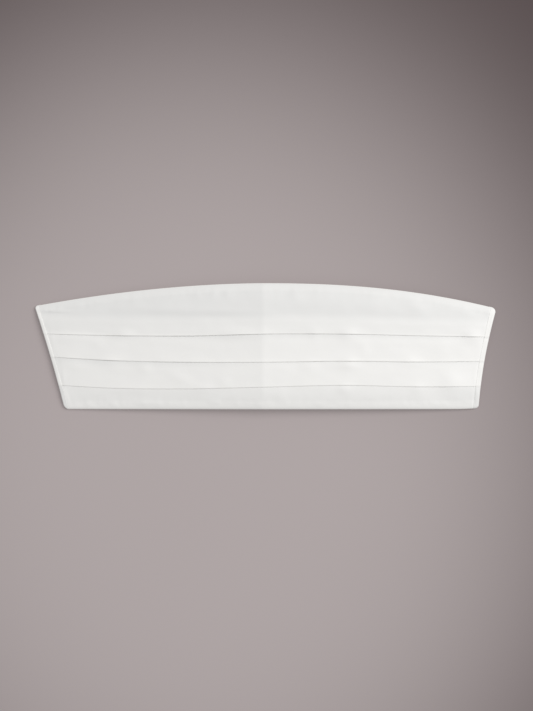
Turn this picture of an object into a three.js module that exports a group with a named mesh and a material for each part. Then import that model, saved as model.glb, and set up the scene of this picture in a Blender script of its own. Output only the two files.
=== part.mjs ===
// A pleated cummerbund, fastened into a loop and laid face up on a flat surface.
// Millimetres. +X runs along the sash, +Y from its straight edge to its arched edge, +Z up from the surface.
// The origin is the centre of the bounding box's bottom.
import * as THREE from "three";

// Front panel
const panelWidth = 462; // between the points of the two upper corners, before they are rounded
const panelHeight = 125; // at the middle, from the straight edge to the top of the arch
const cornerRadius = 3.6; // the four corners, seen from above

// Cloth
const clothThickness = 1; // pleated face cloth and end bindings
const backThickness = 1; // backing cloth
const layerGap = 0.3; // air between layers of cloth and between pieces that touch

// Pleats and turned edges
const pleatDepth = 18; // how far each pleat runs back under itself
const hemWidth = 7; // face cloth turned under the backing along both long edges
const bindingWidth = 5.2; // strip that closes each end, seen from above
const bindingBend = 1.5; // depth of the binding's turn round the end
const seamSlope = 0.7; // rise over run where a binding comes down from one pleat to the next

// How the panel lies
const cornerClearance = 0.2; // air under the lowest corners
const archRise = 10; // middle of the panel above its ends
const archCurve = 2.2; // 2 is a parabola, more is flatter in the middle
const edgeDroop = 1.2; // long edges below the middle line
const creaseHeight = 1; // ridge left by folding the sash in half
const creaseReach = 40; // how fast that ridge fades to each side

// Straps and clasp under the panel
const strapWidth = 45;
const strapThickness = 1.2;
const strapInset = 16; // each strap's fold, in from the end of the panel
const strapRoot = 30; // length sewn flat to the backing
const strapTuck = 12; // strap end folded back past the clasp's bar
const claspThickness = 1.5;
const claspBar = 4; // width of each outer bar
const claspSlot = 5; // opening that a strap passes through
const claspMiddle = 8; // width of the middle bar
const claspMargin = 3; // frame beyond each end of the slots
const slotClearance = 0.5; // between a strap's edge and the end of its slot
const claspCorner = 2; // corner radius of the clasp's outline

// The two ends of the panel. Drop and lift are shares of the panel's height, the rest of its width.
const ends = [
  {
    name: "left",
    side: -1,
    topDrop: 0.181, // corner below the top of the arch
    topCurve: 1.88, // shape of the arch on this side
    bottomInset: 0.065, // lower corner inside the upper one
    bow: 0.003, // hollow of the slanted end
    bottomLift: 0, // rise of the straight edge near the corner
  },
  {
    name: "right",
    side: 1,
    topDrop: 0.2,
    topCurve: 2.28,
    bottomInset: 0.039,
    bow: 0.0062,
    bottomLift: 0.011,
  },
];
const liftReach = 0.88; // share of the half width past which the straight edge lifts

// The folded edges, from the top down: how far each lies below the top of the arch, as a share of the
// panel's height, at seven places spaced evenly from the left end to the right end.
const folds = [
  { leftEnd: 0.4, leftOuter: 0.414, leftInner: 0.417, middle: 0.402,
    rightInner: 0.402, rightOuter: 0.415, rightEnd: 0.425 },
  { leftEnd: 0.59, leftOuter: 0.619, leftInner: 0.632, middle: 0.631,
    rightInner: 0.623, rightOuter: 0.629, rightEnd: 0.625 },
  { leftEnd: 0.817, leftOuter: 0.842, leftInner: 0.846, middle: 0.831,
    rightInner: 0.816, rightOuter: 0.828, rightEnd: 0.826 },
];

// Sizes that follow from the ones above
const halfWidth = panelWidth / 2;
const halfHeight = panelHeight / 2;
const layer = clothThickness + layerGap; // height of one more layer of cloth
const firstLayer = layerGap + clothThickness / 2; // middle of the cloth that lies on the backing
const hemLayer = -backThickness - firstLayer; // middle of the cloth turned under the backing
const hemRadius = (firstLayer - hemLayer) / 2; // middle line of a turned edge
const hemReach = hemRadius + clothThickness / 2; // from a turned edge to the centre of its turn
const foldRadius = layer / 2; // middle line of a pleat's fold
const foldReach = foldRadius + clothThickness / 2;
const flatEdge = cornerRadius + hemReach + layerGap; // the top band lies flat this far down from the arch
const endRoom = clothThickness / 2 + bindingBend + layerGap; // from the outline to the ends of the face cloth
const endLift = cornerClearance + edgeDroop + 2 * layer; // underside of the backing at the ends
const turnAngles = [45, 90, 135].map(THREE.MathUtils.degToRad); // inner points of a half turn
const foldPlaces = ["leftEnd", "leftOuter", "leftInner", "middle", "rightInner", "rightOuter", "rightEnd"];

const foldCurves = folds.map(
  (fold) => new THREE.SplineCurve(foldPlaces.map((place, i) => new THREE.Vector2(i, fold[place]))),
);

// Outline of the panel

const endOf = (x) => ends[x < 0 ? 0 : 1];

function topEdge(x) {
  const { topDrop, topCurve } = endOf(x);
  return halfHeight - panelHeight * topDrop * (Math.abs(x) / halfWidth) ** topCurve;
}

function bottomEdge(x) {
  const share = THREE.MathUtils.smoothstep(Math.abs(x) / halfWidth, liftReach, 1);
  return -halfHeight + panelHeight * endOf(x).bottomLift * share;
}

// How far the slanted end lies inside its upper corner at height y.
function endInset(end, y) {
  const corner = topEdge(end.side * halfWidth);
  const down = (corner - y) / (corner + halfHeight);
  return panelWidth * (end.bottomInset * down + end.bow * 4 * down * (1 - down));
}

const endReach = (end, y) => halfWidth - endInset(end, y);

// x of the lengthwise station u (-1 at the left end, 1 at the right end) at height y.
function stationX(u, y) {
  return u * (halfWidth - endRoom) - Math.sign(u) * endInset(endOf(u), y) * Math.abs(u) ** 3;
}

// How far the face cloth's outline stands back from the edge near a rounded corner, at distance from the end.
function cornerStandBack(distance) {
  const reach = bindingWidth + clothThickness;
  if (distance >= reach) return 0;
  if (distance >= cornerRadius) {
    return (endRoom * (reach - distance)) / (reach - cornerRadius);
  }
  const inside = Math.max((cornerRadius - endRoom) ** 2 - (cornerRadius - distance) ** 2, 0);
  return cornerRadius - Math.sqrt(inside);
}

// Height of the backing's upper face: arched along its length, with a ridge at the middle crease.
function bedHeight(x, y) {
  const along = Math.abs(x) / endReach(endOf(x), y);
  const arch = archRise * (1 - along ** archCurve);
  const crease = creaseHeight * Math.exp(-Math.abs(x) / creaseReach);
  const droop = edgeDroop * (y / halfHeight) ** 2;
  return endLift + backThickness + arch + crease - droop;
}

const onBed = (x, y, height) => new THREE.Vector3(x, y, bedHeight(x, y) + height);

// Lines and places of one cross-section at station u
function sectionAt(u) {
  const end = endOf(u);
  const distance = (y) => endReach(end, y) - Math.abs(stationX(u, y));
  const edgeX = stationX(u, topEdge(u * halfWidth));
  const top = topEdge(edgeX) - cornerStandBack(distance(topEdge(edgeX)));
  const bottom = bottomEdge(stationX(u, -halfHeight)) + cornerStandBack(distance(-halfHeight));
  const edges = foldCurves.map((curve) => halfHeight - panelHeight * curve.getPoint((u + 1) / 2).y);
  const riseStart = topEdge(edgeX) - flatEdge;
  // Where the panel narrows, the uppermost pleat is caught in the top edge.
  const inner = edges.map((edge) => Math.min(edge + pleatDepth, riseStart - 2 * layer));
  return { top, bottom, edges, inner, riseStart };
}

// How high the face below fold number k stands above the first layer at y.
function faceRise(section, k, y) {
  if (k === folds.length) return 0;
  const inner = section.inner[k];
  if (y <= inner) return 2 * layer + faceRise(section, k + 1, y);
  const start = k === 0 ? section.riseStart : section.inner[k - 1];
  return 2 * layer * THREE.MathUtils.clamp((start - y) / (start - inner), 0, 1);
}

// Solids made of ribbons

const point = (a, b) => new THREE.Vector2(a, b);

// Both faces of a ribbon of cloth: its middle line moved half a thickness to either side.
function bothFaces(line, thickness) {
  return line.map((here, i) => {
    const before = here.clone().sub(line[i - 1] ?? line[1]).normalize();
    const after = (line[i + 1] ?? line[i - 1]).clone().sub(here).normalize();
    if (i === 0) before.copy(after);
    if (i === line.length - 1) after.copy(before);
    const along = before.clone().add(after).normalize();
    const across = point(-along.y, along.x).multiplyScalar(thickness / 2 / along.dot(before));
    return [here.clone().add(across), here.clone().sub(across)];
  });
}

// A closed solid through rings of points. Each ring is a list of pairs, one point on each face of the cloth.
function clothSolid(rings) {
  const length = rings[0].length;
  const loops = rings.map((ring) => [
    ...ring.map((pair) => pair[0]),
    ...ring.map((pair) => pair[1]).reverse(),
  ]);
  const around = 2 * length;
  const positions = loops.flat().flatMap((p) => [p.x, p.y, p.z]);
  const index = [];
  const quad = (a, b, c, d) => index.push(a, b, c, a, c, d);
  for (let i = 0; i + 1 < loops.length; i += 1) {
    for (let j = 0; j < around; j += 1) {
      const next = (j + 1) % around;
      quad(i * around + j, i * around + next, (i + 1) * around + next, (i + 1) * around + j);
    }
  }
  const lastRing = (loops.length - 1) * around;
  for (let j = 0; j + 1 < length; j += 1) {
    const mate = around - 1 - j;
    quad(j, mate, mate - 1, j + 1);
    quad(lastRing + j, lastRing + j + 1, lastRing + mate - 1, lastRing + mate);
  }
  const geometry = new THREE.BufferGeometry();
  geometry.setAttribute("position", new THREE.Float32BufferAttribute(positions, 3));
  geometry.setIndex(signedVolume(positions, index) < 0 ? index.reverse() : index);
  geometry.computeVertexNormals();
  return geometry;
}

function signedVolume(positions, index) {
  const corner = (i) => new THREE.Vector3().fromArray(positions, 3 * index[i]);
  let volume = 0;
  for (let i = 0; i < index.length; i += 3) {
    volume += corner(i).dot(corner(i + 1).cross(corner(i + 2))) / 6;
  }
  return volume;
}

// Inner points of a half turn round a centre, from the upper run to the lower one. Outward is 1 or -1.
function halfTurn(centre, radius, outward) {
  return turnAngles.map((angle) =>
    point(centre.x + outward * radius * Math.sin(angle), centre.y + radius * Math.cos(angle)),
  );
}

// Lengthwise stations, close together where the corners are round

const cornerSteps = [0, 0.2, 0.55, 1];
const middleSteps = 7;

function stationList() {
  const distances = cornerSteps.map((step) => endRoom + (cornerRadius - endRoom) * step);
  const half = distances.map((distance) => (halfWidth - distance) / (halfWidth - endRoom));
  const first = (halfWidth - bindingWidth - clothThickness) / (halfWidth - endRoom);
  for (let i = 0; i < middleSteps; i += 1) {
    half.push(first * (1 - i / middleSteps));
  }
  return [...half.map((u) => -u), 0, ...half.reverse()];
}

const stations = stationList();

// The face cloth, one strip folded into three pleats and turned under at both long edges

function faceLine(section) {
  const { top, bottom, edges, inner, riseStart } = section;
  const rise = (k, y) => firstLayer + faceRise(section, k, y);
  const hemCentre = -backThickness / 2;
  const firstCentre = top - hemReach;
  const line = [point(top - hemWidth, hemLayer), point(firstCentre, hemLayer)];
  line.push(...halfTurn(point(firstCentre, hemCentre), hemRadius, 1).reverse());
  line.push(point(firstCentre, firstLayer), point(riseStart, firstLayer));
  edges.forEach((edge, k) => {
    const foldCentre = edge + foldReach;
    const innerCentre = inner[k] - foldReach;
    const between = (foldCentre + innerCentre) / 2;
    const foldHeight = rise(k, foldCentre);
    const innerHeight = rise(k + 1, innerCentre);
    line.push(point(inner[k], rise(k, inner[k])));
    line.push(point(between, rise(k, between)));
    line.push(point(foldCentre, foldHeight));
    line.push(...halfTurn(point(foldCentre, foldHeight - foldRadius), foldRadius, -1));
    line.push(point(foldCentre, foldHeight - layer));
    line.push(point(between, rise(k, between) - layer));
    line.push(point(innerCentre, innerHeight + layer));
    line.push(...halfTurn(point(innerCentre, innerHeight + foldRadius), foldRadius, 1));
    line.push(point(innerCentre, innerHeight));
  });
  const lastCentre = bottom + hemReach;
  line.push(point(lastCentre, firstLayer));
  line.push(...halfTurn(point(lastCentre, hemCentre), hemRadius, -1));
  line.push(point(lastCentre, hemLayer), point(bottom + hemWidth, hemLayer));
  return line;
}

function ringAt(u, line, thickness) {
  return bothFaces(line, thickness).map((pair) =>
    pair.map(({ x: y, y: height }) => onBed(stationX(u, y), y, height)),
  );
}

const pleatedFront = () =>
  clothSolid(stations.map((u) => ringAt(u, faceLine(sectionAt(u)), clothThickness)));

// The backing, flat behind the pleats and inside the turned edges

const backSteps = 6;

function backLine({ top, bottom }) {
  const from = bottom + hemReach + layerGap;
  const to = top - hemReach - layerGap;
  return Array.from({ length: backSteps + 1 }, (_, i) =>
    point(THREE.MathUtils.lerp(to, from, i / backSteps), -backThickness / 2),
  );
}

const backPanel = () =>
  clothSolid(stations.map((u) => ringAt(u, backLine(sectionAt(u)), backThickness)));

// The end bindings, each a strip folded round one end of the panel

// Upper face of the pleats at one end, with a slope below each folded edge that the binding can follow.
function pleatTop(section, y) {
  const visible = section.edges.filter((edge) => y < edge).length;
  const rises = [faceRise(section, visible, y)];
  section.edges.forEach((edge, k) => {
    const below = edge - layerGap - y;
    const foldTop = faceRise(section, k, edge + foldReach);
    rises.push(below >= 0 ? foldTop - below * seamSlope : y <= edge ? foldTop : 0);
  });
  return Math.max(...rises);
}

// Share of a hem's layer under the backing at y: 1 under the hem, 0 away from it.
function hemShare(section, y) {
  const fromEdge = Math.min(y - section.bottom, section.top - y);
  return THREE.MathUtils.clamp(1 - (fromEdge - hemWidth - layerGap) / hemReach, 0, 1);
}

// Heights along an end where a binding changes direction.
function bindingRows(section, low, high) {
  const rows = [low, high, section.riseStart];
  for (const step of [0.04, 0.2, 0.5, 1]) {
    rows.push(low + cornerRadius * step, high - cornerRadius * step);
  }
  section.edges.forEach((edge, k) => {
    const step = faceRise(section, k, edge + foldReach) - faceRise(section, k + 1, edge);
    rows.push(edge, edge - layerGap, edge - layerGap - step / seamSlope, section.inner[k]);
  });
  for (const reach of [hemWidth + layerGap, hemWidth + layerGap + hemReach]) {
    rows.push(section.bottom + reach, section.top - reach);
  }
  const sorted = rows.sort((a, b) => a - b);
  return sorted.filter((y, i) => i === 0 || y - sorted[i - 1] > layerGap / 2);
}

function endBinding(end) {
  const section = sectionAt(end.side);
  const cornerX = end.side * halfWidth;
  const low = bottomEdge(end.side * endReach(end, -halfHeight));
  const high = topEdge(cornerX);
  const [leanStart] = section.inner; // from here up, the rows come to lean with the arched edge
  const rings = bindingRows(section, low, high).map((y) => {
    const fromEdge = Math.min(y - low, high - y, cornerRadius);
    const recede = cornerRadius - Math.sqrt(cornerRadius ** 2 - (cornerRadius - fromEdge) ** 2);
    const outer = endReach(end, y) - recede - clothThickness / 2;
    const inner = endReach(end, y) - bindingWidth;
    const turn = Math.max(outer - bindingBend, (outer + inner) / 2);
    const upper = firstLayer + pleatTop(section, y) + layer;
    const lower = -backThickness - layerGap - clothThickness / 2 - hemShare(section, y) * layer;
    const middle = (upper + lower) / 2;
    const bend = turnAngles.map((angle) =>
      point(turn + (outer - turn) * Math.sin(angle), middle + (upper - middle) * Math.cos(angle)),
    );
    const line = [point(inner, upper), point(turn, upper), ...bend, point(turn, lower), point(inner, lower)];
    const lean = THREE.MathUtils.clamp((y - leanStart) / (section.riseStart - leanStart), 0, 1);
    return bothFaces(line, clothThickness).map((pair) =>
      pair.map(({ x: reach, y: height }) => {
        const x = end.side * reach;
        return onBed(x, y + lean * (topEdge(x) - topEdge(cornerX)), height);
      }),
    );
  });
  return clothSolid(rings);
}

// Straps, each sewn behind one end, folded under and looped round a bar of the clasp

const strapMiddle = (topEdge(halfWidth) + topEdge(-halfWidth) - panelHeight) / 4;
const claspBase = strapThickness + layerGap;
const claspTop = claspBase + claspThickness;
const barInner = claspMiddle / 2 + claspSlot; // edge of an outer bar at its slot
const barOuter = barInner + claspBar;

function strapLine(end, y) {
  const half = strapThickness / 2;
  const sewn = (reach) => bedHeight(end.side * reach, y) - backThickness - layerGap - half;
  const foldOuter = endReach(end, strapMiddle) - strapInset;
  const foldStart = foldOuter - half - (sewn(foldOuter) - half) / 2;
  const radius = (sewn(foldStart) - half) / 2;
  const tuckHeight = claspTop + layerGap + half;
  const tuckCentre = (tuckHeight + half) / 2;
  const sewnTuck = strapThickness + layerGap + half;
  const slopeEnd = barOuter + (tuckHeight - sewnTuck) / seamSlope;
  return [
    point(foldStart - strapRoot, sewn(foldStart - strapRoot)),
    point(foldStart - strapRoot / 2, sewn(foldStart - strapRoot / 2)),
    point(foldStart, sewn(foldStart)),
    ...halfTurn(point(foldStart, half + radius), radius, 1),
    point(foldStart, half),
    point((foldStart + barOuter) / 2, half),
    point(barInner, half),
    ...halfTurn(point(barInner, tuckCentre), tuckHeight - tuckCentre, -1).reverse(),
    point(barInner, tuckHeight),
    point(barOuter + layerGap, tuckHeight),
    point(slopeEnd, sewnTuck),
    point(slopeEnd + strapTuck, sewnTuck),
  ];
}

function strap(end) {
  const rings = [-1, 0, 1].map((across) => {
    const y = strapMiddle + (across * strapWidth) / 2;
    return bothFaces(strapLine(end, y), strapThickness).map((pair) =>
      pair.map(({ x: reach, y: z }) => new THREE.Vector3(end.side * reach, y, z)),
    );
  });
  return clothSolid(rings);
}

function roundedRectangle(path, width, height, centreX, radius) {
  const right = centreX + width / 2;
  const left = centreX - width / 2;
  const up = height / 2;
  path.moveTo(left + radius, -up);
  path.absarc(right - radius, -up + radius, radius, -Math.PI / 2, 0);
  path.absarc(right - radius, up - radius, radius, 0, Math.PI / 2);
  path.absarc(left + radius, up - radius, radius, Math.PI / 2, Math.PI);
  path.absarc(left + radius, -up + radius, radius, Math.PI, Math.PI * 1.5);
  path.closePath();
  return path;
}

// The clasp, a flat frame with a slot for each strap
function clasp() {
  const slotLength = strapWidth + 2 * slotClearance;
  const outline = roundedRectangle(
    new THREE.Shape(), 2 * barOuter, slotLength + 2 * claspMargin, 0, claspCorner,
  );
  for (const { side } of ends) {
    const slotCentre = (side * (claspMiddle + claspSlot)) / 2;
    outline.holes.push(
      roundedRectangle(new THREE.Path(), claspSlot, slotLength, slotCentre, claspCorner / 4),
    );
  }
  const geometry = new THREE.ExtrudeGeometry(outline, {
    depth: claspThickness, bevelEnabled: false, curveSegments: 4,
  });
  return geometry.translate(0, strapMiddle, claspBase);
}

// Finishes
const faceCloth = new THREE.MeshStandardMaterial({ color: "#efeeea", roughness: 0.6 });
const backCloth = new THREE.MeshStandardMaterial({ color: "#eae9e4", roughness: 0.75 });
const strapCloth = new THREE.MeshStandardMaterial({ color: "#e9e8e3", roughness: 0.7 });
const claspFinish = new THREE.MeshStandardMaterial({ color: "#e6e5e0", roughness: 0.35 });

const sash = new THREE.Group();

function addPiece(name, geometry, material) {
  const mesh = new THREE.Mesh(geometry, material);
  mesh.name = name;
  sash.add(mesh);
}

addPiece("pleated_front", pleatedFront(), faceCloth);
addPiece("back_panel", backPanel(), backCloth);
for (const end of ends) {
  addPiece(`end_binding_${end.name}`, endBinding(end), faceCloth);
  addPiece(`strap_${end.name}`, strap(end), strapCloth);
}
addPiece("clasp", clasp(), claspFinish);

// Centre the sash over the origin, standing on z = 0
const box = new THREE.Box3().setFromObject(sash);
const centre = box.getCenter(new THREE.Vector3());
sash.position.set(-centre.x, -centre.y, -box.min.z);

export default sash;
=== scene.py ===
import math

import bpy
import numpy as np
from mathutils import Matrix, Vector, noise


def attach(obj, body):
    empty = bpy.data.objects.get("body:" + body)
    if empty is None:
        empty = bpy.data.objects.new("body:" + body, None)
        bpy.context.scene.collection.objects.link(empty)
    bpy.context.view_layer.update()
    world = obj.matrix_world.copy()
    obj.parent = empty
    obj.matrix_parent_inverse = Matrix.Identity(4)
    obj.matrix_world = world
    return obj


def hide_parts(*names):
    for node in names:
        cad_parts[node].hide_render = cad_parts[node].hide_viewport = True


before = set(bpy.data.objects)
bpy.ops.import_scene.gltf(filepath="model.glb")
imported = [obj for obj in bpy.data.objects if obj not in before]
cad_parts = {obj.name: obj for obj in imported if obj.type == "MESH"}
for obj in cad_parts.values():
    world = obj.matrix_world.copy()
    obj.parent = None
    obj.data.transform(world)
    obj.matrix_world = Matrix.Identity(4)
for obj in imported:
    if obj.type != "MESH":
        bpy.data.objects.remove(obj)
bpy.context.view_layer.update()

mm = 0.001
print("the packed frame is loaded:", ", ".join(sorted(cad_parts)))

# Camera, light and floor

view = {
    "centre": (0.001, -0.0092),  # what the middle of the picture looks at
    "heightSeen": 0.711,  # from the picture's top to its bottom, at the cloth
    "lens": 85.0,
    "sensor": 36.0,  # the camera's, along the picture's longer side
    "clothLevel": 0.007,  # height of the cloth that the picture's size is given at
}
studio = {
    "keyTurn": 30.0,  # degrees round from +X, towards +Y
    "keyHeight": 52.0,  # degrees above the floor
    "keyDistance": 5.0,
    "keySize": 4.0,
    "keyPower": 197.5,
    "keyColour": (1.0, 0.998, 0.99),
    "skyColour": (0.99, 0.99, 1.0),
    "skyStrength": 0.47,
    "floorSize": 40.0,
    "floorColour": (0.432, 0.3815, 0.3795),  # painted pool of light: the floor's colour round the sash, and its painted shade far from it
    "floorFarShade": (0.0775, 0.0575, 0.0585),
    "floorCentre": (-0.074, -0.13, 0.0),  # the painted pool of light is palest here
    "floorReach": (0.408, 0.466, 1.0),  # the painted pool darkens over this distance, and more suddenly the higher the power
    "floorFade": 3.96,
    "floorPaintedGlow": 0.35,  # share of the floor's brightness that is painted glow: the floor emits this though it is no lamp, which lightens the shadows on it
}


def deselectAll():
    bpy.ops.object.select_all(action="DESELECT")


def makeActive(piece):
    deselectAll()
    piece.select_set(True)
    bpy.context.view_layer.objects.active = piece


def addCamera():
    deselectAll()
    distance = view["heightSeen"] * view["lens"] / view["sensor"]
    place = (*view["centre"], view["clothLevel"] + distance)
    bpy.ops.object.camera_add(location=place, rotation=(0, 0, 0))
    camera = bpy.context.object
    camera.name = "viewCamera"
    camera.data.lens = view["lens"]
    bpy.context.scene.camera = camera


def addKeyLight():
    deselectAll()
    turn, height = math.radians(studio["keyTurn"]), math.radians(studio["keyHeight"])
    level = math.cos(height)
    towards = Vector((level * math.cos(turn), level * math.sin(turn), math.sin(height)))
    bpy.ops.object.light_add(type="AREA", location=towards * studio["keyDistance"])
    lamp = bpy.context.object
    lamp.name = "keyLight"
    lamp.rotation_euler = (-towards).to_track_quat("-Z", "Y").to_euler()
    lamp.data.shape = "DISK"
    lamp.data.size = studio["keySize"]
    lamp.data.energy = studio["keyPower"]
    lamp.data.color = studio["keyColour"]


addCamera()
addKeyLight()
world = bpy.data.worlds.new("paleRoom")
world.use_nodes = True
world.node_tree.nodes["Background"].inputs["Color"].default_value = (*studio["skyColour"], 1)
world.node_tree.nodes["Background"].inputs["Strength"].default_value = studio["skyStrength"]
bpy.context.scene.world = world
bpy.context.scene.view_settings.view_transform = "Standard"

deselectAll()
bpy.ops.mesh.primitive_plane_add(size=studio["floorSize"], location=(0, 0, 0))
floor = bpy.context.object
floor.name = "paleFloor"
print("camera, light and floor are placed")

# The form of the panel, in millimetres. The drops, insets, bows and lifts of its ends are shares of its
# height or width.

panel = {
    "width": 463.4,
    "height": 125.8,
    "bedAtEnds": 4.6,  # backing's upper face above the floor at the two ends
    "archRise": 10.0,  # of its bow, in the middle
    "edgeDroop": 0.8,  # of its long edges, below the middle line
    "creaseHeight": 1.2,  # of the middle fold, and where it lies
    "creaseReach": 24.0,
    "creaseAt": -2.35,
    "settle": 1.85,  # the long edges hang lower than the rest, and lower still in the middle
    "settleMiddle": 2.0,
    "settleReach": 24.0,
    "endSettle": 0.5,  # the two ends hang a little too
    "endReach": 9.0,
    "bottomLiftFrom": 0.82,  # the lower edge lifts towards the ends from here, as a share of the half width
    "flatShare": 0.95,  # mean length of its two long edges, as a share of the width
    # Each end: how far and how steeply the top edge drops, how the slanted end runs, how the lower edge
    # lifts, the radii of its two corners, the visible width of its strip, how deep that rolls and how much
    # it puffs up, how far the face sinks beside it, and the power of the panel's bow towards this end.
    "left": {
        "topDrop": 0.181, "topCurve": 1.88, "bottomInset": 0.065, "bow": 0.003, "bottomLift": 0.0,
        "topCorner": 3.4, "bottomCorner": 5.0, "strip": 3.8, "turnDepth": 0.8, "puff": 0.05,
        "sunk": 0.05, "archCurve": 1.35,
    },
    "right": {
        "topDrop": 0.2, "topCurve": 2.28, "bottomInset": 0.039, "bow": 0.0062, "bottomLift": 0.011,
        "topCorner": 5.0, "bottomCorner": 3.6, "strip": 5.2, "turnDepth": 1.5, "puff": 0.1,
        "sunk": 0.29, "archCurve": 2.2,
    },
}
halfWidth = panel["width"] / 2
halfHeight = panel["height"] / 2

# Each pleat at seven places from the left end to the right end: its folded edge below the top of the
# arch, as a share of the height, and how far the cloth runs back under itself, in millimetres.
pleats = [
    {"edge": [0.400, 0.414, 0.417, 0.402, 0.402, 0.415, 0.425],
     "depth": [14.0, 13.5, 13.0, 12.5, 11.5, 11.0, 10.5]},
    {"edge": [0.584, 0.613, 0.625, 0.625, 0.617, 0.623, 0.619],
     "depth": [19.5, 19.5, 20.0, 20.0, 19.5, 19.0, 18.5]},
    {"edge": [0.809, 0.833, 0.836, 0.822, 0.808, 0.820, 0.818],
     "depth": [20.0, 20.0, 19.5, 19.5, 19.0, 19.0, 18.5]},
]

# Where each folded edge stands up from the cloth below it: middle, half length and rise in millimetres.
lifts = [
    [(-140, 10, 0.38), (-78, 30, 0.38), (-24, 18, 0.5), (49, 9, 0.34),
     (84, 12, 0.35), (206, 9, 0.5), (0, 600, 0.14)],
    [(-155, 13, 0.45), (-90, 22, 0.26), (50, 14, 0.25), (84, 10, 0.3), (145, 11, 0.32), (0, 600, 0.14)],
    [(-62, 9, 0.15), (79, 8, 0.22), (151, 10, 0.24), (176, 12, 0.3)],
]

# Soft swellings of the cloth: middle along and across, half size along and across, turn in degrees, rise.
swellings = [
    # just below the first fold
    (-143, 11.6, 13, 4.5, 0, 0.7), (-27, 11.6, 25, 5, 0, 0.8), (49, 12.0, 6, 6, 0, 0.25),
    (82, 11.4, 10, 6.5, 0, 0.78), (208, 9.6, 9, 6, 0, 0.8), (-190, 9, 14, 5, 0, 0.35),
    # just below the second
    (-158, -15.4, 12, 4, 0, 0.6), (-60, -16.4, 45, 3.4, 0, 0.3), (43, -19, 10, 6, 0, 0.35),
    (82, -18.2, 8, 6, 0, 0.48), (145, -16.4, 13, 4, 0, 0.34), (-198, -15, 12, 6, 0, 0.4),
    # just below the third
    (78, -42.4, 6, 4.6, 0, 0.36), (152, -42.4, 7, 4.6, 0, 0.34), (-60, -42, 9, 4, 0, 0.25),
    # on the two middle bands
    (187, -36, 10, 12, 8, 0.72), (-121, -22, 8, 6, -30, 0.35), (-88, -30, 17, 6, -28, 0.27),
    (-41, -36, 7, 5, 0, 0.3), (-168, 3, 10, 5, -34, 0.2), (176, -4, 9, 9, 10, 0.35),
    (98, -2, 6, 8, 0, 0.2),
    # on the lowest band
    (-130, -43.5, 22, 4, 0, 0.25), (-117, -57, 8, 3.5, 0, 0.3), (-50, -57, 5, 3.5, 0, 0.35),
    (16, -50, 6, 9, 12, 0.2),
    # on the top band
    (-68, 53, 4, 5, 8, 0.3), (-52, 53.5, 4, 5, -6, 0.3), (-38, 53.5, 4, 5, 4, 0.3),
    (-130, 47, 8, 5, 20, 0.2), (-75, 35.6, 80, 4.5, -2, 0.4), (-48, 35.8, 22, 5, 0, 0.25),
    (30, 51, 7, 6, 20, 0.3), (108, 42, 8, 11, 0, 0.2), (150, 40, 13, 6, -32, 0.4),
    (200, 34, 12, 6, -20, 0.3), (-182, 32.8, 18, 4, 6, 0.25), (-211, 35.3, 17, 1.4, -2, 0.6),
]


def smoothStep(low, high, value):
    share = np.clip((value - low) / (high - low), 0.0, 1.0)
    return share * share * (3.0 - 2.0 * share)


def sideOf(x):
    return np.where(np.asarray(x) < 0, -1.0, 1.0)


def byEnd(x, key):
    return np.where(np.asarray(x) < 0, panel["left"][key], panel["right"][key])


def topEdge(x):
    drop = byEnd(x, "topDrop") * (np.abs(x) / halfWidth) ** byEnd(x, "topCurve")
    return halfHeight - panel["height"] * drop


def bottomEdge(x):
    share = smoothStep(panel["bottomLiftFrom"], 1.0, np.abs(x) / halfWidth)
    return -halfHeight + panel["height"] * byEnd(x, "bottomLift") * share


def endInset(side, y):  # how far the slanted end lies inside its upper corner
    corner = topEdge(side * halfWidth)
    down = (corner - y) / (corner + halfHeight)
    return panel["width"] * (byEnd(side, "bottomInset") * down + byEnd(side, "bow") * 4 * down * (1 - down))


def endReach(side, y):
    return halfWidth - endInset(side, y)


def endDistance(x, y):  # in from the slanted end
    return endReach(sideOf(x), y) - np.abs(x)


def longDistance(x, y):  # in from the nearer one of the two long edges
    return np.minimum(topEdge(x) - y, y - bottomEdge(x))


def bedHeight(x, y):  # upper face of the backing above the floor
    fromCrease = x - panel["creaseAt"] * (1 - np.minimum(np.abs(x) / halfWidth, 1) ** 2)
    arch = 1 - (np.abs(fromCrease) / endReach(sideOf(fromCrease), y)) ** byEnd(fromCrease, "archCurve")
    crease = panel["creaseHeight"] * np.exp(-np.abs(fromCrease) / panel["creaseReach"])
    hang = (1 - np.clip(longDistance(x, y) / panel["settleReach"], 0, 1)) ** 2
    endHang = panel["endSettle"] * (1 - np.clip(endDistance(x, y) / panel["endReach"], 0, 1)) ** 2
    settle = np.maximum((panel["settle"] + panel["settleMiddle"] * arch) * hang, endHang)
    droop = panel["edgeDroop"] * (y / halfHeight) ** 2
    return panel["bedAtEnds"] + panel["archRise"] * arch + crease - droop - settle


def along(table, u):  # a smooth curve through seven values, from u = -1 to u = 1
    places = np.linspace(-1, 1, len(table))
    slopes = np.gradient(np.array(table), places)
    i = np.clip(np.searchsorted(places, u) - 1, 0, len(table) - 2)
    gap = places[1] - places[0]
    t = np.clip((u - places[i]) / gap, 0, 1)
    a, b = np.array(table)[i], np.array(table)[i + 1]
    return ((2 * t**3 - 3 * t**2 + 1) * a + (t**3 - 2 * t**2 + t) * gap * slopes[i]
            + (-2 * t**3 + 3 * t**2) * b + (t**3 - t**2) * gap * slopes[i + 1])


def cloudy(x, y, lengthX, lengthY, seed):  # soft noise, about -1 to 1
    spots = zip((x / lengthX).ravel().tolist(), (y / lengthY).ravel().tolist())
    return np.array([noise.noise(Vector((a, b, seed))) for a, b in spots]).reshape(x.shape)


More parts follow.
